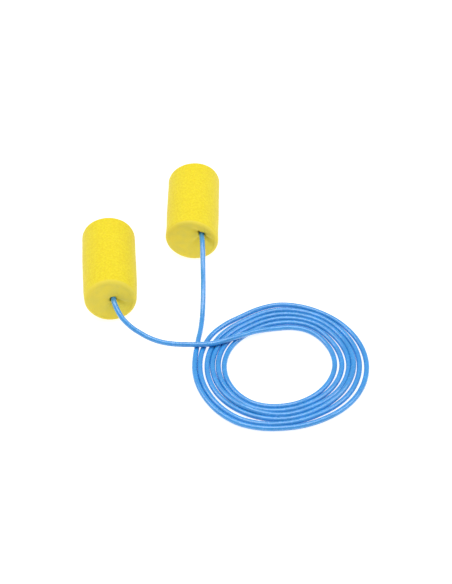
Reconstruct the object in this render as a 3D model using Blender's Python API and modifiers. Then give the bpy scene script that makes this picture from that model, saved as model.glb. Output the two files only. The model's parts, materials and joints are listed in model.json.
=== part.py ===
"""A pair of foam ear plugs joined by a vinyl cord, lying on a flat surface. Metres, +Z up.

Each plug is a soft foam cylinder on its side. One end of the cord is glued into a blind hole in its
inner end. The cord runs from one plug to the other and is wound into a loose flat coil between them.
The origin is on the surface, under the middle of the pair of plugs. The cord is cut, only in this
model, where it bends as a plug is swung about on the surface.
"""

import math

import bmesh
import bpy
from mathutils import Matrix, Vector
from mathutils.geometry import interpolate_bezier

MM = 0.001

# The foam plugs. Both are the same part; only the place of the cord's hole differs.
PLUG_DIAMETER = 13.0 * MM
PLUG_LENGTH = 22.3 * MM
OUTER_EDGE_RADIUS = 0.7 * MM
INNER_EDGE_RADIUS = 1.0 * MM
# The foam narrows a little towards the corded inner end.
END_NARROWING = 0.4 * MM
NARROWING_LENGTH = 12.0 * MM
NARROWING_STEPS = 6
PLUG_SEGMENTS = 72
HOLE_SEGMENTS = 24

# The hole in a plug's inner end: a blind bore with a soft funnel where the foam is drawn in.
HOLE_DEPTH = 9.0 * MM
FUNNEL_DIAMETER = 4.0 * MM
FUNNEL_DEPTH = 0.6 * MM

# The cord, and the drop of glue in the bottom of each hole that holds its end.
CORD_DIAMETER = 1.25 * MM
BOND_LENGTH = 1.6 * MM

# Clearances: around the cord and the glue in the hole, between faces that meet, and at a swing joint.
HOLE_CLEARANCE = 0.3 * MM
END_CLEARANCE = 0.3 * MM
PIVOT_CLEARANCE = 0.6 * MM

# Where the plugs lie: each inner end's centre on the surface, the turn about the vertical, and the
# hole's offset from the plug's axis, across and up.
PLUGS = {
    "left": {
        "inner_end": (-8.55 * MM, -21.3 * MM),
        "turn": math.radians(4.5),
        "hole": (0.75 * MM, 0.25 * MM),
    },
    "right": {
        "inner_end": (10.3 * MM, -0.6 * MM),
        "turn": math.radians(-0.5),
        "hole": (2.45 * MM, 2.0 * MM),
    },
}

# The coil: the flat ring that its turns fill, one cord thick.
COIL_CENTRE = (31.25 * MM, -36.0 * MM)
COIL_OUTER_DIAMETER = 41.0 * MM
COIL_INNER_DIAMETER = 23.6 * MM
COIL_EDGE_RADIUS = 0.4 * MM
COIL_SEGMENTS = 96

# The cord's route from each plug's hole to the coil, in millimetres, with the height of its
# underside above the surface. It starts in the hole, at a point that is worked out from the plug,
# and it is cut off where it meets the coil's outer wall.
ROUTES_MM = {
    "left": [
        (-7.65, -21.6, 6.0),
        (-7.3, -22.6, 5.7),
        (-6.6, -23.9, 5.1),
        (-5.7, -25.2, 4.4),
        (-4.4, -26.25, 3.5),
        (-2.9, -27.1, 2.6),
        (-1.5, -27.78, 2.07),
        (-0.1, -28.45, 1.6),
        (1.3, -29.1, 1.2),
        (2.7, -29.7, 0.85),
        (4.1, -30.15, 0.55),
        (5.5, -30.48, 0.3),
        (8.2, -30.8, 0.05),
        (11.0, -30.85, 0.05),
        (14.0, -30.8, 0.05),
        (17.0, -30.5, 0.05),
    ],
    "right": [
        (12.88, -1.9, 7.8),
        (12.98, -3.9, 7.45),
        (13.05, -5.8, 6.85),
        (13.1, -7.9, 5.9),
        (13.15, -9.8, 4.9),
        (13.2, -12.3, 3.4),
        (13.2, -15.0, 2.0),
        (13.15, -17.9, 0.9),
        (13.0, -21.3, 0.25),
        (12.65, -25.0, 0.05),
        (12.15, -28.2, 0.05),
        (11.65, -31.7, 0.05),
    ],
}
# How far along the route from the hole each swing joint is.
PIVOT_ALONG = {"left": 7.0 * MM, "right": 9.0 * MM}
# The cord's tube: the spacing of the points that it follows.
TUBE_STEP = 2.5 * CORD_DIAMETER

PLUG_RADIUS = PLUG_DIAMETER / 2
CORD_RADIUS = CORD_DIAMETER / 2
HOLE_RADIUS = CORD_RADIUS + HOLE_CLEARANCE
# How deep in the hole the cord's end is, short of the glue.
CORD_DEPTH = HOLE_DEPTH - BOND_LENGTH - 2 * END_CLEARANCE
COIL_HEIGHT = CORD_DIAMETER

COLOURS = {
    "foam": ((0.80, 0.70, 0.06, 1.0), 0.9),
    "vinyl": ((0.05, 0.33, 0.80, 1.0), 0.35),
    "glue": ((0.85, 0.83, 0.72, 1.0), 0.4),
}


def clear_scene():
    for obj in list(bpy.data.objects):
        bpy.data.objects.remove(obj)


def new_collection(name):
    collection = bpy.data.collections.new(name)
    bpy.context.scene.collection.children.link(collection)
    return collection


def material(slot):
    """The Principled material of this slot, made once."""
    found = bpy.data.materials.get(slot)
    if found:
        return found
    made = bpy.data.materials.new(slot)
    made.use_nodes = True
    shader = made.node_tree.nodes["Principled BSDF"]
    colour, roughness = COLOURS[slot]
    shader.inputs["Base Color"].default_value = colour
    shader.inputs["Roughness"].default_value = roughness
    shader.inputs["Metallic"].default_value = 0.0
    made.diffuse_color = colour
    return made


def arc(centre, radius, start, end, steps=6):
    """Points of an arc in a profile's plane, from one angle to another, in degrees."""
    angles = [math.radians(start + (end - start) * i / steps) for i in range(steps + 1)]
    return [
        (centre[0] + radius * math.cos(a), centre[1] + radius * math.sin(a)) for a in angles
    ]


def turned(name, profile, segments, collection):
    """A solid turned about its own Z from a profile of (radius, height), outer side top to bottom."""
    mesh = bpy.data.meshes.new(name)
    shape = bmesh.new()
    points = [shape.verts.new((radius, 0, height)) for radius, height in profile]
    for first, second in zip(points, points[1:]):
        shape.edges.new((first, second))
    if profile[0][0] > 0:
        shape.edges.new((points[-1], points[0]))
    shape.to_mesh(mesh)
    shape.free()
    obj = bpy.data.objects.new(name, mesh)
    collection.objects.link(obj)
    screw = obj.modifiers.new("Turn", "SCREW")
    screw.steps = screw.render_steps = segments
    screw.use_merge_vertices = True
    screw.merge_threshold = 0.00001
    screw.use_smooth_shade = True
    return obj


def cut(obj, cutter):
    boolean = obj.modifiers.new(cutter.name, "BOOLEAN")
    boolean.operation = "DIFFERENCE"
    boolean.object = cutter


def as_cutter(obj):
    obj.hide_render = True
    obj.display_type = "WIRE"
    return obj


def tube(name, points, collection):
    """The cord along these points: a round bevel on a straight-edged spline, with closed ends."""
    curve = bpy.data.curves.new(name, "CURVE")
    curve.dimensions = "3D"
    curve.bevel_depth = CORD_RADIUS
    curve.bevel_resolution = 2
    curve.use_fill_caps = True
    spline = curve.splines.new("POLY")
    spline.points.add(len(points) - 1)
    for target, point in zip(spline.points, points):
        target.co = (*point, 1.0)
    spline.use_smooth = True
    obj = bpy.data.objects.new(name, curve)
    collection.objects.link(obj)
    obj.data.materials.append(material("vinyl"))
    return obj


def smooth_line(points, per_span=24):
    """A fine line along a smooth curve through these points."""
    points = [Vector(p) for p in points]
    tangents = []
    for i, point in enumerate(points):
        before, after = points[max(i - 1, 0)], points[min(i + 1, len(points) - 1)]
        tangents.append((after - before).normalized())
    line = [points[0]]
    for i in range(len(points) - 1):
        reach = (points[i + 1] - points[i]).length / 3
        line += interpolate_bezier(
            points[i],
            points[i] + tangents[i] * reach,
            points[i + 1] - tangents[i + 1] * reach,
            points[i + 1],
            per_span + 1,
        )[1:]
    return line


def distances_along(line):
    distances = [0.0]
    for first, second in zip(line, line[1:]):
        distances.append(distances[-1] + (second - first).length)
    return distances


def stretch(line, start, end):
    """Points evenly spaced along a fine line, from one distance along it to another."""
    distances = distances_along(line)
    count = max(2, round((end - start) / TUBE_STEP)) + 1
    points, span = [], 0
    for i in range(count):
        wanted = start + (end - start) * i / (count - 1)
        while span < len(line) - 2 and distances[span + 1] < wanted:
            span += 1
        share = (wanted - distances[span]) / (distances[span + 1] - distances[span])
        points.append(line[span].lerp(line[span + 1], share))
    return points


def length_to_coil(line):
    """How far along the line the tube's flat end comes up against the coil's outer wall."""
    centre = Vector((*COIL_CENTRE, 0))
    wall = COIL_OUTER_DIAMETER / 2 + END_CLEARANCE
    for distance, point, following in zip(distances_along(line), line, line[1:]):
        from_centre = (point - centre).xy
        forward = (following - point).xy.normalized()
        facing = forward.dot(from_centre.normalized())
        rim = CORD_RADIUS * math.sqrt(max(0.0, 1 - facing**2))
        if from_centre.length - rim < wall:
            break
    return distance


def plug_frame(side):
    """The plug's own frame: +Z along its axis towards its outer end, +Y up, at its inner end's centre."""
    lie = PLUGS[side]
    across = Vector((math.cos(lie["turn"]), math.sin(lie["turn"]), 0))
    outward = Vector((-math.sin(lie["turn"]), math.cos(lie["turn"]), 0))
    up = Vector((0, 0, 1))
    start = Vector((*lie["inner_end"], PLUG_RADIUS))
    turn = Matrix((-across, up, outward)).transposed().to_4x4()
    return Matrix.Translation(start) @ turn


def hole_in_plug(side):
    """The centre of the hole's mouth in the plug's own frame."""
    across, up = PLUGS[side]["hole"]
    return Vector((-across, up, 0))


def plug_profile():
    """From the outer end's centre, down the side, to the inner end's centre."""
    outer, inner = OUTER_EDGE_RADIUS, INNER_EDGE_RADIUS
    narrowing = []
    for i in range(NARROWING_STEPS):
        share = i / NARROWING_STEPS
        height = NARROWING_LENGTH + (inner - NARROWING_LENGTH) * share
        narrowing.append((PLUG_RADIUS - END_NARROWING / 2 * share**2, height))
    return [
        (0, PLUG_LENGTH),
        *arc((PLUG_RADIUS - outer, PLUG_LENGTH - outer), outer, 90, 0),
        *narrowing,
        *arc((PLUG_RADIUS - END_NARROWING / 2 - inner, inner), inner, 0, -90),
        (0, 0),
    ]


def hole_profile():
    """The blind bore and the funnel that it flares into, as the space that they leave."""
    flare = FUNNEL_DIAMETER / 2 - HOLE_RADIUS
    funnel = [
        (HOLE_RADIUS + flare * (1 - x), FUNNEL_DEPTH * (1 - y)) for x, y in arc((0, 0), 1, 0, 90)
    ]
    past_the_face = -FUNNEL_DEPTH
    return [
        (0, HOLE_DEPTH),
        (HOLE_RADIUS, HOLE_DEPTH),
        *funnel,
        (FUNNEL_DIAMETER / 2, past_the_face),
        (0, past_the_face),
    ]


def bond_profile():
    """The glue: as thick as the cord, at the bottom of the bore."""
    top = HOLE_DEPTH - END_CLEARANCE
    return [
        (0, top),
        (CORD_RADIUS, top),
        (CORD_RADIUS, top - BOND_LENGTH),
        (0, top - BOND_LENGTH),
    ]


def lay_on(pivot, obj, matrix):
    """Puts obj at this place in the world, as a child of the empty on its swing joint's axis."""
    obj.parent = pivot
    obj.matrix_parent_inverse = Matrix.Translation(pivot.location).inverted()
    obj.matrix_basis = matrix


def cord_line(side):
    """The cord's centreline from its end in the plug to where it is cut off at the coil."""
    frame, hole = plug_frame(side), hole_in_plug(side)
    end, mouth = frame @ (hole + Vector((0, 0, CORD_DEPTH))), frame @ hole
    lift = Vector((0, 0, CORD_RADIUS))
    return smooth_line([end, mouth] + [Vector(point) * MM + lift for point in ROUTES_MM[side]])


def make_plug(side, parts, cutters):
    """The foam plug, the glue in it and the end of the cord, which swing together."""
    line = cord_line(side)
    swing_at = CORD_DEPTH + PIVOT_ALONG[side]
    pivot = bpy.data.objects.new(f"swing_{side}", None)
    pivot.location = stretch(line, swing_at, swing_at + TUBE_STEP)[0]
    parts.objects.link(pivot)

    in_hole = plug_frame(side) @ Matrix.Translation(hole_in_plug(side))
    plug = turned(f"plug_{side}", plug_profile(), PLUG_SEGMENTS, parts)
    plug.data.materials.append(material("foam"))
    lay_on(pivot, plug, plug_frame(side))
    hole = as_cutter(turned(f"hole_{side}", hole_profile(), HOLE_SEGMENTS, cutters))
    lay_on(pivot, hole, in_hole)
    cut(plug, hole)
    bond = turned(f"bond_{side}", bond_profile(), HOLE_SEGMENTS, parts)
    bond.data.materials.append(material("glue"))
    lay_on(pivot, bond, in_hole)
    to_joint = stretch(line, 0.0, swing_at - PIVOT_CLEARANCE / 2)
    lay_on(pivot, tube(f"cord_end_{side}", to_joint, parts), Matrix())


def make_lead(side, parts):
    """The cord from the swing joint to the coil."""
    line = cord_line(side)
    start = CORD_DEPTH + PIVOT_ALONG[side] + PIVOT_CLEARANCE / 2
    tube(f"cord_lead_{side}", stretch(line, start, length_to_coil(line)), parts)


def coil_profile():
    outer, inner, edge = COIL_OUTER_DIAMETER / 2, COIL_INNER_DIAMETER / 2, COIL_EDGE_RADIUS
    return [
        (inner + edge, COIL_HEIGHT),
        *arc((outer - edge, COIL_HEIGHT - edge), edge, 90, 0, 3),
        *arc((outer - edge, edge), edge, 0, -90, 3),
        *arc((inner + edge, edge), edge, -90, -180, 3),
        *arc((inner + edge, COIL_HEIGHT - edge), edge, 180, 90, 3)[:-1],
    ]


def make_coil(parts):
    coil = turned("cord_coil", coil_profile(), COIL_SEGMENTS, parts)
    coil.location = (*COIL_CENTRE, 0)
    coil.data.materials.append(material("vinyl"))


def main():
    clear_scene()
    parts = new_collection("Corded ear plugs")
    cutters = new_collection("Cutters")
    for side in PLUGS:
        make_plug(side, parts, cutters)
        make_lead(side, parts)
    make_coil(parts)


main()
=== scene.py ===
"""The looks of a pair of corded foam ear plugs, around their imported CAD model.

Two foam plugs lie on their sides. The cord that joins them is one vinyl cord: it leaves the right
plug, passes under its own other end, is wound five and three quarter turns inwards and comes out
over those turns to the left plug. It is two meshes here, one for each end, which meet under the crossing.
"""

import collections
import json
import math

import bpy
import numpy as np
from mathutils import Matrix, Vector, noise
from mathutils.geometry import interpolate_bezier


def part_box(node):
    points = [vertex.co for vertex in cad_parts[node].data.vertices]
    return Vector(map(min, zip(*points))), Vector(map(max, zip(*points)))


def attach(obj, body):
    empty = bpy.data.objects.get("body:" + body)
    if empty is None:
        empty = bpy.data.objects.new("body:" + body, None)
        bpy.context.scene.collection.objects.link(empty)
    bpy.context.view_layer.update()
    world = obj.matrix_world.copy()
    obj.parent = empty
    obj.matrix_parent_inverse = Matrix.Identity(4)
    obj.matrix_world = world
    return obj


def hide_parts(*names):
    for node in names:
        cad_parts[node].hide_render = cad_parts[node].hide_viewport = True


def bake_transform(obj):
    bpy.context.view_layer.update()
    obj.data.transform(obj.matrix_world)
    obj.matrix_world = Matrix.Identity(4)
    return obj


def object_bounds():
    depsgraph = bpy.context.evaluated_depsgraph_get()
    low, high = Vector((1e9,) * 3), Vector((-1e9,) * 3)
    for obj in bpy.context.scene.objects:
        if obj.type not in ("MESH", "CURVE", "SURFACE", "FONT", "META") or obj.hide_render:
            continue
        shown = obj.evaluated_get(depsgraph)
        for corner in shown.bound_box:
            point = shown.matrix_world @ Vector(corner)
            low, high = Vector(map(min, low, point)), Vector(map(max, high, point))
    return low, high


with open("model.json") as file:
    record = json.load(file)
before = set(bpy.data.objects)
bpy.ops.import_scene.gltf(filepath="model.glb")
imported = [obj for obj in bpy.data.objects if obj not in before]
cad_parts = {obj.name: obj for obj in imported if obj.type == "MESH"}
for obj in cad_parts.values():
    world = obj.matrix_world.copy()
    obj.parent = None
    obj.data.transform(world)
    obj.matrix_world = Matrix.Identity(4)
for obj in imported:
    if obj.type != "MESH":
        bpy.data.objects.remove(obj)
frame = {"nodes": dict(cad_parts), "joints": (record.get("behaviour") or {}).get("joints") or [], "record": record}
CAD_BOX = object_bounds()
MM = 0.001

# --- The cord's measures -------------------------------------------------------------------------
CORD_DIAMETER = 1.25 * MM
CORD_RADIUS = CORD_DIAMETER / 2
# How deep in the plug's hole the cord's end is.
CORD_DEPTH = 6.8 * MM
# The right mesh's length: from its end in the plug to where the other end passes over it.
CORD_RIGHT_LENGTH = 41 * MM
# A length along the cord on each side of a joint; make_cords turns it into a count of rings that it does not use.
BLEND_REACH = 6 * MM
CORD_SIDES = 20
RING_STEP = 0.4 * MM
# How many points of the fine line there are from each point of the route to the next.
LINE_STEPS = 24

# The route from each plug's hole, in millimetres, with the height of the cord's underside above the
# surface: the model's own points. The right ones go on to the coil. The left ones go on to where the
# cord stays raised, which the solid model brings down to the surface at the coil's wall.
ROUTES_MM = {
    "left": [
        (-7.65, -21.6, 6.0),
        (-7.3, -22.6, 5.7),
        (-6.6, -23.9, 5.1),
        (-5.7, -25.2, 4.4),
        (-4.4, -26.25, 3.5),
        (-2.9, -27.1, 2.6),
        (-1.5, -27.78, 2.07),
        (-0.1, -28.45, 1.6),
    ],
    "right": [
        (12.88, -1.9, 7.8),
        (12.98, -3.9, 7.45),
        (13.05, -5.8, 6.85),
        (13.1, -7.9, 5.9),
        (13.15, -9.8, 4.9),
        (13.2, -12.3, 3.4),
        (13.2, -15.0, 2.0),
        (13.15, -17.9, 0.9),
        (13.0, -21.3, 0.25),
        (12.65, -25.0, 0.05),
        (12.15, -28.2, 0.05),
    ],
}
# The left end goes on over the right one and over the coil's turns, down to the innermost turn.
OVER_THE_COIL_MM = [
    (1.3, -29.1, 1.38),
    (2.7, -29.72, 1.33),
    (4.1, -30.18, 1.31),
    (5.5, -30.48, 1.30),
    (6.95, -30.68, 1.30),
    (8.4, -30.78, 1.30),
    (10.3, -30.83, 1.30),
    (13.0, -30.8, 1.32),
    (15.0, -30.65, 1.32),
    (16.9, -30.1, 1.32),
    (18.85, -29.4, 1.32),
    (20.8, -28.6, 1.31),
    (22.75, -27.6, 1.15),
    (25.7, -26.05, 0.72),
    (28.7, -24.85, 0.12),
]
# The coil. Seen from above it is wound anticlockwise and inwards, from START to END, in degrees.
COIL_CENTRE_MM = (31.25, -36.0)
COIL_TURNS = 5.75
COIL_START = 180
COIL_END = COIL_START + round(360 * COIL_TURNS)
COIL_STEP = 15
COIL_LIFT_MM = 0.03
# On each of its sides, SIDE_STEP degrees apart: the outermost turn's radius, and the space from each
# turn to the next one in.
SIDE_STEP = 30
COIL_SIDES_MM = {
    0: (20.05, (1.68, 1.38, 1.10, 1.58, 1.68)),
    30: (19.87, (1.54, 1.30, 1.20, 1.56, 1.48)),
    60: (19.50, (1.32, 1.27, 1.27, 1.32, 1.58)),
    90: (19.25, (1.75, 1.40, 1.40, 1.45, 1.65)),
    120: (17.80, (1.60, 1.27, 1.27, 1.30, 1.40)),
    150: (18.50, (1.88, 1.25, 1.27, 1.58, 1.40)),
    180: (19.85, (1.25, 1.66, 1.25, 1.33, 1.44)),
    210: (19.95, (1.25, 1.68, 1.42, 1.22, 1.22)),
    240: (20.00, (1.25, 2.05, 1.10, 1.10, 1.22)),
    270: (18.88, (1.27, 1.28, 1.27, 1.28, 1.28)),
    300: (18.80, (1.74, 1.27, 1.25, 1.25, 1.25)),
    330: (19.60, (1.78, 1.46, 1.10, 1.58, 1.52)),
}
# Where a turn rides up a little between its neighbours: (turn, side) and its height.
COIL_HUMPS_MM = {(3, 240): 0.55, (2, 330): 0.5, (2, 0): 0.5}

# --- The plugs' measures -------------------------------------------------------------------------
# The mesh: how many columns there are round the plug, and the space between rings.
COLUMNS = 280
GRID_STEP = 0.145 * MM
OUTER_EDGE_RADIUS = 0.7 * MM
INNER_EDGE_RADIUS = 1.0 * MM
END_NARROWING = 0.4 * MM
NARROWING_LENGTH = 12.0 * MM
# The hole: a round bore, whose mouth is uneven and closes in to the bore over CLOSING_DEPTH.
HOLE_DEPTH = 9.0 * MM
BORE_RADIUS = 0.82 * MM
MOUTH_RADIUS = 0.78 * MM
MOUTH_RIPPLE = 0.04 * MM
CLOSING_DEPTH = 1.6 * MM
# The dimple that the cord draws in round the hole.
DIMPLE_DEPTH = 0.5 * MM
DIMPLE_REACH = 1.7 * MM
# The swollen rim of the inner end: it grows from the axis to RIM_WIDTH and fades along the plug.
RIM_WIDTH = 5 * MM
RIM_REACH = 2.6 * MM
# The foam's relief: lumps of two sizes with their heights, and the cells, flatter on the cut ends.
LUMPS = ((5 * MM, 0.06 * MM), (1.4 * MM, 0.022 * MM))
CELL_SIZE = 0.5 * MM
CELL_DEPTH_SIDE, CELL_DEPTH_END = 0.028 * MM, 0.012 * MM
CELL_WALL_SLOPE = 1.6
# How far a surface faces along the plug where it starts to count as a cut end, and where it fully does.
END_FACING = (0.12, 0.52)
# What differs in each plug's inner end: the creases that run out from the cord (direction
# in degrees from across to up, depth in mm, half width in degrees, reach in mm) and the slit where
# the foam stands open beside the cord (direction, opening in mm, half width in degrees). Soft foam
# is never cut quite square: how far each end leans, per unit across and up, and how far the rim of
# the inner end swells, in mm.
FACES = {
    "left": {
        "creases": [(-22, 0.60, 17, 3.2), (-114, 0.50, 16, 3.8), (62, 0.12, 25, 2.5), (165, 0.18, 22, 2.2)],
        "slit": (205, 0.30, 40),
        "inner_tilt": (0.0, 0.085),
        "outer_tilt": (0.0, 0.055),
        "rim_swell": -0.10,
    },
    "right": {
        "creases": [(-36, 0.60, 14, 3.6), (-124, 0.52, 17, 3.6), (140, 0.22, 14, 1.8), (20, 0.12, 20, 2.0)],
        "slit": (132, 0.55, 18),
        "inner_tilt": (-0.09, -0.02),
        "outer_tilt": (0.07, 0.01),
        "rim_swell": 0.22,
    },
}

# --- The view's and the studio's measures ----------------------------------------------------------
CAMERA_TARGET_MM = (18.7, -11.7, 0)
CAMERA_DISTANCE = 356 * MM
CAMERA_ELEVATION = 45.5
CAMERA_LENS, CAMERA_SENSOR = 90, 36
CAMERA_CLIP = (0.01, 10)
# Each light: its place from the object's middle and its side in metres, and its power in watts.
LIGHTS = {
    "top": ((0.0, 0.06, 0.50), 0.36, 1.25),
    "left": ((-0.36, 0.10, 0.42), 0.26, 0.6),
    "right": ((0.36, 0.02, 0.42), 0.26, 0.6),
}
ROOM_LIGHT = 0.5
TABLE_HALF = 1.5
TABLE_GLOW = 0.8


def point(values_mm):
    return Vector(values_mm) * MM


# --- Camera --------------------------------------------------------------------------------------
def make_camera():
    elevation = math.radians(CAMERA_ELEVATION)
    back = Vector((0, -math.cos(elevation), math.sin(elevation)))
    data = bpy.data.cameras.new("camera")
    data.lens, data.sensor_width = CAMERA_LENS, CAMERA_SENSOR
    data.clip_start, data.clip_end = CAMERA_CLIP
    camera = bpy.data.objects.new("camera", data)
    camera.location = point(CAMERA_TARGET_MM) + back * CAMERA_DISTANCE
    camera.rotation_euler = (-back).to_track_quat("-Z", "Y").to_euler()
    bpy.context.scene.collection.objects.link(camera)
    bpy.context.scene.camera = camera


# --- Where the plugs lie -------------------------------------------------------------------------
PlugFrame = collections.namedtuple("PlugFrame", "centre across up along length radius")


def plug_frame(side):
    """The inner end's centre, the directions across, up and along the plug, its length and radius."""
    mount = next(m for m in frame["record"]["mounts"] if m["name"] == f"outer_end_{side}")
    outer, along = Vector(mount["pos_m"]), Vector(mount["axis"]).normalized()
    up = Vector((0, 0, 1))
    across = along.cross(up)
    places = [v.co - outer for v in frame["nodes"][f"plug_{side}"].data.vertices]
    length = -min(p.dot(along) for p in places)
    radius = max(p.dot(across) for p in places)
    return PlugFrame(outer - along * length, across, up, along, length, radius)


def hole_mouth(side):
    """Where the hole's axis meets the plane of the inner end."""
    plug = plug_frame(side)
    low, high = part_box(f"bond_{side}")
    bond = (low + high) / 2
    return bond - plug.along * (bond - plug.centre).dot(plug.along)


# --- Cords ---------------------------------------------------------------------------------------
def coil_side(index):
    """The radius and the height, in mm, of the turn that passes this side, counted from angle 0."""
    side = index * SIDE_STEP % 360
    outer, spaces = COIL_SIDES_MM[side]
    turn = max(0, index * SIDE_STEP - COIL_START) // 360
    return np.array([outer - sum(spaces[:turn]), COIL_HUMPS_MM.get((turn, side), 0.0)])


def coil_place(angle):
    """The radius and the height, in mm, at an angle of the winding: a smooth curve through the sides."""
    index, past = divmod(angle, SIDE_STEP)
    share = past / SIDE_STEP
    before, start, end, after = (coil_side(index + i) for i in (-1, 0, 1, 2))
    if angle - past == COIL_START:
        before = start
    slope_in, slope_out = (end - before) / 2, (after - start) / 2
    return (
        start * (2 * share**3 - 3 * share**2 + 1)
        + slope_in * (share**3 - 2 * share**2 + share)
        + end * (3 * share**2 - 2 * share**3)
        + slope_out * (share**3 - share**2)
    )


def coil_points():
    """Points along the coil's turns, from its outside in."""
    points = []
    for angle in range(COIL_START, COIL_END + 1, COIL_STEP):
        (radius, height), turned = coil_place(angle), math.radians(angle)
        x = COIL_CENTRE_MM[0] + radius * math.cos(turned)
        y = COIL_CENTRE_MM[1] + radius * math.sin(turned)
        points.append(point((x, y, COIL_LIFT_MM + max(0.0, height))))
    return points


def smooth_line(points):
    """A fine line along a smooth curve through these points."""
    tangents = []
    for i in range(len(points)):
        before, after = points[max(i - 1, 0)], points[min(i + 1, len(points) - 1)]
        tangents.append((after - before).normalized())
    line = [points[0]]
    for i in range(len(points) - 1):
        reach = (points[i + 1] - points[i]).length / 3
        line += interpolate_bezier(
            points[i],
            points[i] + tangents[i] * reach,
            points[i + 1] - tangents[i + 1] * reach,
            points[i + 1],
            LINE_STEPS + 1,
        )[1:]
    return line


def evenly(line):
    """The same line with points evenly spaced, about RING_STEP apart."""
    places = np.array(line)
    along = np.concatenate([[0], np.cumsum(np.linalg.norm(np.diff(places, axis=0), axis=1))])
    wanted = np.linspace(0, along[-1], round(along[-1] / RING_STEP) + 1)
    return np.stack([np.interp(wanted, along, places[:, k]) for k in range(3)], axis=1)


def cord_line():
    """The whole cord's centreline, from its end in the left plug to its end in the right one."""
    lift = Vector((0, 0, CORD_RADIUS))
    ends = {}
    for side in ROUTES_MM:
        mouth, along = hole_mouth(side), plug_frame(side).along
        ends[side] = [mouth + along * CORD_DEPTH, mouth + along * CORD_DEPTH / 2, mouth]
        ends[side] += [point(p) + lift for p in ROUTES_MM[side]]
    over = [point(p) + lift for p in OVER_THE_COIL_MM]
    coil = [p + lift for p in coil_points()]
    return evenly(smooth_line(ends["left"] + over + coil[::-1] + ends["right"][::-1]))


def tube(name, line):
    """A round tube along these points, closed at both ends, its rings square to the line."""
    tangents = np.gradient(line, axis=0)
    tangents /= np.linalg.norm(tangents, axis=1)[:, None]
    side = np.cross(tangents[0], (0.0, 0.0, 1.0))
    around = np.arange(CORD_SIDES) * 2 * math.pi / CORD_SIDES
    points = []
    for place, tangent in zip(line, tangents):
        side = side - tangent * side.dot(tangent)
        side /= np.linalg.norm(side)
        other = np.cross(tangent, side)
        ring = np.outer(np.cos(around), side) + np.outer(np.sin(around), other)
        points.append(place + CORD_RADIUS * ring)
    last = (len(line) - 1) * CORD_SIDES
    faces = [tuple(range(CORD_SIDES))[::-1], tuple(range(last, last + CORD_SIDES))]
    for i in range(len(line) - 1):
        for k in range(CORD_SIDES):
            a, b = i * CORD_SIDES + k, i * CORD_SIDES + (k + 1) % CORD_SIDES
            faces.append((a, b, b + CORD_SIDES, a + CORD_SIDES))
    return new_mesh(name, np.concatenate(points), faces, flat_faces=2)


def new_mesh(name, points, faces, flat_faces=0):
    """A smooth-shaded mesh object. The first few faces can stay flat, with sharp edges round them."""
    mesh = bpy.data.meshes.new(name)
    mesh.from_pydata([tuple(p) for p in points], [], faces)
    smooth = np.ones(len(faces), bool)
    smooth[:flat_faces] = False
    mesh.polygons.foreach_set("use_smooth", smooth)
    rims = {tuple(sorted(key)) for i in range(flat_faces) for key in mesh.polygons[i].edge_keys}
    if rims:
        for edge in mesh.edges:
            edge.use_edge_sharp = tuple(sorted(edge.vertices)) in rims
    mesh.update()
    obj = bpy.data.objects.new(name, mesh)
    bpy.context.scene.collection.objects.link(obj)
    return obj


def make_cords(vinyl):
    """The cord as two meshes that meet under the crossing, with the CAD model's cord parts hidden."""
    line = cord_line()
    split = len(line) - 1 - round(CORD_RIGHT_LENGTH / RING_STEP)
    pieces = {"left": line[: split + 1], "right": line[split:][::-1]}
    for side, piece_line in pieces.items():
        cord = tube(f"cord_{side}", piece_line)
        cord.data.materials.append(vinyl)
        joint = next(j for j in frame["joints"] if j["name"] == f"{side}_swing")
        away = np.linalg.norm(piece_line - np.array(joint["pos_m"]), axis=1)
        nearest, reach = int(away.argmin()), round(BLEND_REACH / RING_STEP)
        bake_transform(cord)
        if side == "left":
            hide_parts("cord_end_left", "cord_lead_left", "cord_coil")
        else:
            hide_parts("cord_end_right", "cord_lead_right")


# --- Foam plugs ----------------------------------------------------------------------------------
def bell(distance, reach):
    """1 at no distance, fading smoothly to nothing past the reach."""
    return math.exp(-((distance / reach) ** 2))


def turn_between(angle, direction):
    """How many degrees there are from a direction in degrees to an angle in radians, -180 to 180."""
    return (math.degrees(angle) - direction + 180) % 360 - 180


def mouth_radius(side, angle):
    """How far the hole's edge is from its axis in this direction: close to the cord, but for the slit."""
    direction, opening, width = FACES[side]["slit"]
    ripple = MOUTH_RIPPLE * (math.sin(3 * angle + 1) + math.sin(5 * angle + 2))
    return MOUTH_RADIUS + ripple + opening * MM * bell(turn_between(angle, direction), width)


def dimple(side, distance, angle):
    """How far the foam is drawn in, this far from the edge of the hole, with the creases."""
    depth = DIMPLE_DEPTH * math.exp(-distance / DIMPLE_REACH)
    for direction, crease, width, reach in FACES[side]["creases"]:
        fade = bell(distance, reach * MM) * bell(turn_between(angle, direction), width)
        depth += crease * MM * fade
    return depth


def quarter_turn(radius):
    """Angles over a quarter turn, at a step that suits an edge of this radius."""
    steps = max(3, round(radius * math.pi / 2 / GRID_STEP))
    return [math.pi / 2 * i / steps for i in range(steps + 1)]


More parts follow.
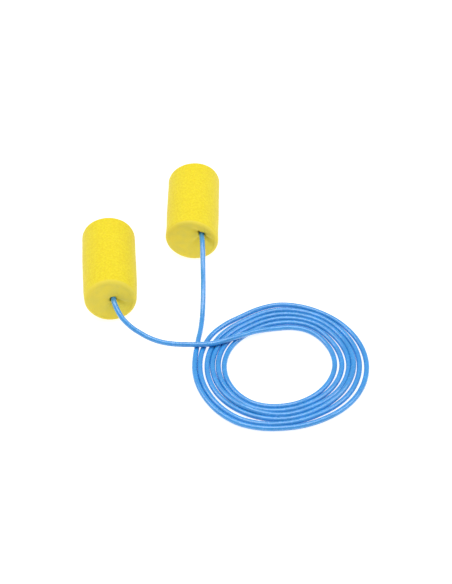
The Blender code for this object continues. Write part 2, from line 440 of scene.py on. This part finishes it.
def turned_profile(length, radius):
    """(radius, along) from near the outer end's centre, over the side, to the inner end's flat."""
    flat = radius - OUTER_EDGE_RADIUS
    steps = round(flat / GRID_STEP)
    profile = [(flat * i / steps, length) for i in range(1, steps)]
    for turn in quarter_turn(OUTER_EDGE_RADIUS):
        drop = OUTER_EDGE_RADIUS * (1 - math.cos(turn))
        profile.append((flat + OUTER_EDGE_RADIUS * math.sin(turn), length - drop))
    straight = length - OUTER_EDGE_RADIUS - INNER_EDGE_RADIUS
    steps = round(straight / GRID_STEP)
    for i in range(1, steps):
        along = INNER_EDGE_RADIUS + straight * (1 - i / steps)
        share = max(0.0, (NARROWING_LENGTH - along) / (NARROWING_LENGTH - INNER_EDGE_RADIUS))
        profile.append((radius - END_NARROWING / 2 * share**2, along))
    rim = inner_rim(radius)
    for turn in quarter_turn(INNER_EDGE_RADIUS):
        along = INNER_EDGE_RADIUS * (1 - math.sin(turn))
        profile.append((rim + INNER_EDGE_RADIUS * math.cos(turn), along))
    return profile


def inner_rim(radius):
    """The radius of the inner end's flat."""
    return radius - END_NARROWING / 2 - INNER_EDGE_RADIUS


def face_rings(side, rim, hole, angles):
    """The inner face, from its rim in to the edge of the hole."""
    steps = round(rim / GRID_STEP)
    rings = []
    for share in (i / steps for i in range(1, steps + 1)):
        ring = []
        for a in angles:
            mouth = mouth_radius(side, a)
            x = (1 - share) * rim * math.cos(a) + share * (hole[0] + mouth * math.cos(a))
            y = (1 - share) * rim * math.sin(a) + share * (hole[1] + mouth * math.sin(a))
            ring.append((x, y, 0.0))
        rings.append(ring)
    return rings


def hole_rings(side, hole, angles):
    """The hole: its sides close in to a round bore, down to its flat bottom."""
    steps = round(HOLE_DEPTH / (2 * GRID_STEP))
    rings = []
    for along in (HOLE_DEPTH * i / steps for i in range(1, steps + 1)):
        ring = []
        for a in angles:
            r = BORE_RADIUS + (mouth_radius(side, a) - BORE_RADIUS) * bell(along, CLOSING_DEPTH)
            ring.append((hole[0] + r * math.cos(a), hole[1] + r * math.sin(a), along))
        rings.append(ring)
    return rings


def plug_rings(side, length, radius, hole):
    """Rings of (across, up, along) points from the outer end's centre to the bottom of the hole.

    With them, how many of the rings come before the inner face.
    """
    angles = [2 * math.pi * k / COLUMNS for k in range(COLUMNS)]
    profile = turned_profile(length, radius)
    rings = [[(r * math.cos(a), r * math.sin(a), along) for a in angles] for r, along in profile]
    rings += face_rings(side, inner_rim(radius), hole, angles)
    rings += hole_rings(side, hole, angles)
    return np.array(rings), len(profile)


def foam_relief(places, ends):
    """How far the foam's surface stands out at each place: gentle lumps, then cells as small pits."""
    relief = np.empty(len(places))
    for i, (place, end) in enumerate(zip(places, ends)):
        p = Vector(place)
        swell = sum(height * noise.noise(p / size) for size, height in LUMPS)
        near, second = noise.voronoi(p / CELL_SIZE)[0][:2]
        pit = min(1.0, (second - near) * CELL_WALL_SLOPE)
        relief[i] = swell - pit * (CELL_DEPTH_SIDE + (CELL_DEPTH_END - CELL_DEPTH_SIDE) * end)
    return relief


def lean(places, side, length):
    """Leans both ends out of square, and swells the inner end's rim, fading along the plug."""
    from_inner = places[:, 2].clip(0, length)
    near_inner = (1 - from_inner / length) ** 2
    near_outer = (from_inner / length) ** 2
    for fade, key in ((near_inner, "inner_tilt"), (near_outer, "outer_tilt")):
        places[:, 2] += fade * (places[:, :2] @ np.array(FACES[side][key]))
    out = np.hypot(places[:, 0], places[:, 1])
    rim = np.clip(out / RIM_WIDTH, 0, 1) ** 2 * np.exp(-((from_inner / RIM_REACH) ** 2))
    places[:, :2] *= (1 + FACES[side]["rim_swell"] * MM * rim / out.clip(MM, None))[:, None]


def draw_in(places, side, hole):
    """The dimple: the face and the hole's first part are drawn in round the cord."""
    for place in places:
        across, up = place[:2] - np.array(hole)
        angle = math.atan2(up, across)
        from_edge = max(0.0, np.hypot(across, up) - mouth_radius(side, angle))
        place[2] += dimple(side, from_edge, angle) * max(0.0, 1 - place[2] / HOLE_DEPTH)


def plug_faces(ring_count):
    """The faces between the rings, and the fans that close both ends of them."""
    top = ring_count * COLUMNS
    bottom, last = top + 1, top - COLUMNS
    faces = []
    for k in range(COLUMNS):
        j = (k + 1) % COLUMNS
        faces.append((top, j, k))
        faces.append((bottom, last + k, last + j))
        for i in range(ring_count - 1):
            a, b = i * COLUMNS + k, i * COLUMNS + j
            faces.append((a, b, b + COLUMNS, a + COLUMNS))
    return faces


def add_cells(mesh, points, along):
    """Presses the foam's cells into the surface, finer and flatter on the cut ends than on the side."""
    normals = np.empty(len(points) * 3, np.float32)
    mesh.vertices.foreach_get("normal", normals)
    normals = normals.reshape(-1, 3).astype(float)
    if normals[0] @ along < 0:
        mesh.flip_normals()
        normals = -normals
    start, full = END_FACING
    ends = np.clip((np.abs(normals @ along) - start) / (full - start), 0, 1)
    points = points + normals * foam_relief(points, ends)[:, None]
    points[:, 2] = np.maximum(points[:, 2], 0.0)
    mesh.vertices.foreach_set("co", points.astype(np.float32).ravel())
    attribute = mesh.attributes.new("cut_end", "FLOAT", "POINT")
    attribute.data.foreach_set("value", ends.astype(np.float32))
    mesh.update()


def make_plug(side, foam):
    centre, across, up, along, length, radius = plug_frame(side)
    mouth = hole_mouth(side) - centre
    hole = (mouth.dot(across), mouth.dot(up))
    rings, turned = plug_rings(side, length, radius, hole)
    places = rings.reshape(-1, 3)
    draw_in(places[turned * COLUMNS :], side, hole)
    lean(places, side, length)
    places = np.concatenate([places, [(0, 0, length), (*hole, HOLE_DEPTH)]])
    points = places @ np.array([across, up, along]) + np.array(centre)
    plug = new_mesh(f"foam_plug_{side}", points, plug_faces(len(rings)))
    add_cells(plug.data, points, np.array(along))
    plug.data.materials.append(foam)
    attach(plug, f"{side}_plug")
    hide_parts(f"plug_{side}")


# --- Materials -----------------------------------------------------------------------------------
class Nodes:
    """A material's node tree, with short ways to add and join nodes."""

    def __init__(self, name):
        self.material = bpy.data.materials.new(name)
        self.material.use_nodes = True
        self.tree = self.material.node_tree
        self.shader = self.tree.nodes["Principled BSDF"]
        self.place = self.add("ShaderNodeTexCoord").outputs["Object"]

    def add(self, kind, **values):
        node = self.tree.nodes.new(kind)
        for name, value in values.items():
            setattr(node, name, value)
        return node

    def join(self, output, socket):
        self.tree.links.new(output, socket)

    def noise(self, size, detail=2.0, rough=0.5):
        """Noise whose features are about this many metres across."""
        node = self.add("ShaderNodeTexNoise")
        node.inputs["Scale"].default_value = 1 / size
        node.inputs["Detail"].default_value = detail
        node.inputs["Roughness"].default_value = rough
        self.join(self.place, node.inputs["Vector"])
        return node.outputs["Fac"]

    def cells(self, size, feature="F1"):
        node = self.add("ShaderNodeTexVoronoi", feature=feature)
        node.inputs["Scale"].default_value = 1 / size
        self.join(self.place, node.inputs["Vector"])
        return node.outputs["Distance"]

    def ramp(self, value, low, high, out_low=0.0, out_high=1.0):
        node = self.add("ShaderNodeMapRange", interpolation_type="SMOOTHSTEP")
        for name, number in zip(("From Min", "From Max", "To Min", "To Max"), (low, high, out_low, out_high)):
            node.inputs[name].default_value = number
        self.join(value, node.inputs["Value"])
        return node.outputs["Result"]

    def mix(self, factor, first, second):
        """A colour between two, each of them a colour or another node's output."""
        node = self.add("ShaderNodeMix", data_type="RGBA")
        colours = [s for s in node.inputs if s.type == "RGBA"]
        for socket, colour in zip(colours, (first, second)):
            if isinstance(colour, tuple):
                socket.default_value = (*colour, 1)
            else:
                self.join(colour, socket)
        self.join(factor, node.inputs["Factor"])
        return next(s for s in node.outputs if s.type == "RGBA")

    def bump(self, heights):
        """Bumps one after another: (height output, metres, strength)."""
        normal = None
        for height, distance, strength in heights:
            node = self.add("ShaderNodeBump")
            node.inputs["Distance"].default_value = distance
            node.inputs["Strength"].default_value = strength
            self.join(height, node.inputs["Height"])
            if normal:
                self.join(normal, node.inputs["Normal"])
            normal = node.outputs["Normal"]
        self.join(normal, self.shader.inputs["Normal"])

    def set(self, **values):
        for name, value in values.items():
            self.shader.inputs[name.replace("_", " ")].default_value = value


def make_foam():
    """Slow-recovery foam: fine matt cells, denser on the two cut ends, whose paler colour is partly their own tone
    and partly painted light, a whitish veil from the white table.
    """
    n = Nodes("foam")
    speck = n.ramp(n.noise(0.48 * MM, 3.0, 0.65), 0.34, 0.68)
    side = n.mix(speck, (0.75, 0.588, 0.002), (0.835, 0.695, 0.010))
    # Painted shade: the foam is darker at the cells' centres, where its pits are.
    pit = n.ramp(n.cells(0.5 * MM), 0.0, 0.45)
    side = n.mix(pit, (0.76, 0.595, 0.002), side)
    cloud = n.ramp(n.noise(2.6 * MM, 2.0), 0.35, 0.65)
    # The cut ends' colour: partly their own paler tone, partly a painted whitish veil standing in for the white
    # table's light thrown back on them.
    end = n.mix(cloud, (0.81, 0.67, 0.068), (0.87, 0.70, 0.055))
    end_tone_and_veil_mask = n.add("ShaderNodeAttribute", attribute_name="cut_end").outputs["Fac"]
    n.join(n.mix(end_tone_and_veil_mask, side, end), n.shader.inputs["Base Color"])
    n.join(n.ramp(n.noise(0.4 * MM, 3.0), 0.3, 0.7, 0.78, 0.96), n.shader.inputs["Roughness"])
    n.bump([(n.cells(0.3 * MM), 0.04 * MM, 0.5), (n.noise(0.16 * MM, 4.0), 0.02 * MM, 0.5)])
    n.set(Subsurface_Weight=0.12, Subsurface_Radius=(1.0, 0.7, 0.25), Subsurface_Scale=0.7 * MM)
    n.set(Sheen_Weight=0.15, Sheen_Roughness=0.5)
    return n.material


def make_vinyl():
    """Soft blue vinyl with a satin gloss, faintly uneven as extruded cord is."""
    n = Nodes("vinyl")
    tone = n.ramp(n.noise(3.0 * MM, 3.0), 0.3, 0.7)
    n.join(n.mix(tone, (0.022, 0.280, 0.70), (0.032, 0.322, 0.78)), n.shader.inputs["Base Color"])
    n.join(n.ramp(n.noise(0.9 * MM, 3.0), 0.3, 0.7, 0.18, 0.30), n.shader.inputs["Roughness"])
    n.bump([(n.noise(0.5 * MM, 2.0), 0.012 * MM, 0.35)])
    n.set(Subsurface_Weight=0.15, Subsurface_Radius=(0.2, 0.5, 1.0), Subsurface_Scale=0.5 * MM)
    n.set(Coat_Weight=1.0, Coat_Roughness=0.1, IOR=1.6)
    return n.material


def make_glue():
    """The set drop of clear glue at the bottom of each hole."""
    n = Nodes("glue")
    cloud = n.ramp(n.noise(0.5 * MM, 2.0), 0.3, 0.7)
    n.join(n.mix(cloud, (0.78, 0.75, 0.66), (0.86, 0.84, 0.76)), n.shader.inputs["Base Color"])
    n.join(n.ramp(n.noise(0.3 * MM, 2.0), 0.3, 0.7, 0.25, 0.45), n.shader.inputs["Roughness"])
    return n.material


# --- Studio --------------------------------------------------------------------------------------
def area_light(name, place, target, size, watts):
    data = bpy.data.lights.new(name, "AREA")
    data.shape, data.size, data.energy = "SQUARE", size, watts
    light = bpy.data.objects.new(name, data)
    light.location = place
    light.rotation_euler = (target - place).to_track_quat("-Z", "Y").to_euler()
    bpy.context.scene.collection.objects.link(light)


def make_studio():
    """A white table under a large soft light and two weaker ones, in a white room."""
    scene = bpy.context.scene
    scene.view_settings.view_transform = "Standard"
    world = bpy.data.worlds.new("room")
    world.use_nodes = True
    background = world.node_tree.nodes["Background"]
    background.inputs["Color"].default_value = (1, 1, 1, 1)
    background.inputs["Strength"].default_value = ROOM_LIGHT
    scene.world = world
    low, high = CAD_BOX
    middle = (low + high) / 2
    for name, (place, size, watts) in LIGHTS.items():
        area_light(name, middle + Vector(place), middle, size, watts)

    corners = [(x * TABLE_HALF, y * TABLE_HALF, 0) for x, y in ((-1, -1), (1, -1), (1, 1), (-1, 1))]
    table = new_mesh("table", corners, [(0, 1, 2, 3)])
    n = Nodes("table")
    tone = n.ramp(n.noise(0.05, 2.0), 0.3, 0.7)
    n.join(n.mix(tone, (0.42, 0.42, 0.42), (0.44, 0.44, 0.44)), n.shader.inputs["Base Color"])
    n.set(Roughness=0.9, Emission_Color=(1, 1, 1, 1), Emission_Strength=TABLE_GLOW)
    table.data.materials.append(n.material)


def make_all():
    make_camera()
    make_cords(make_vinyl())
    foam, glue = make_foam(), make_glue()
    for side in FACES:
        make_plug(side, foam)
        bond = frame["nodes"][f"bond_{side}"]
        bond.data.materials.clear()
        bond.data.materials.append(glue)
    make_studio()


make_all()
